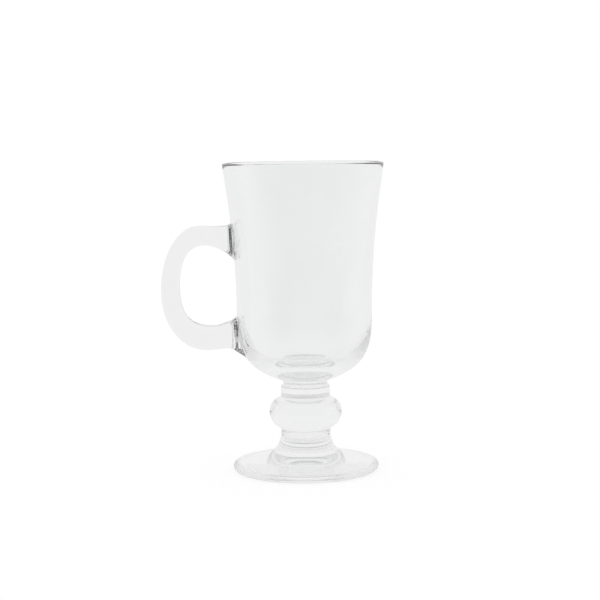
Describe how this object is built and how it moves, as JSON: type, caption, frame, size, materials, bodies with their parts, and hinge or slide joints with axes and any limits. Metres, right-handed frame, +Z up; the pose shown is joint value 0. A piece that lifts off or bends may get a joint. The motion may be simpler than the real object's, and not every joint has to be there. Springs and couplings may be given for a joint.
{
  "type": "irish coffee glass mug",
  "caption": "Clear glass mug for hot drinks: a flared bowl on a short beaded stem and a round foot, with a loop handle at the side.",
  "frame": {"origin": "on the bowl's axis, in the plane of the foot's standing ring", "axes": "+Z up along the bowl's axis, -X towards the handle, +Y away from the side the picture shows"},
  "size_m": [0.1056, 0.076, 0.1464],
  "materials": {
    "clear_glass": "fire-polished clear soda-lime glass"
  },
  "bodies": {
    "root": {"bowl": "clear_glass", "upper_collar": "clear_glass", "knop": "clear_glass", "lower_collar": "clear_glass", "foot": "clear_glass", "handle": "clear_glass"}
  },
  "joints": []
}
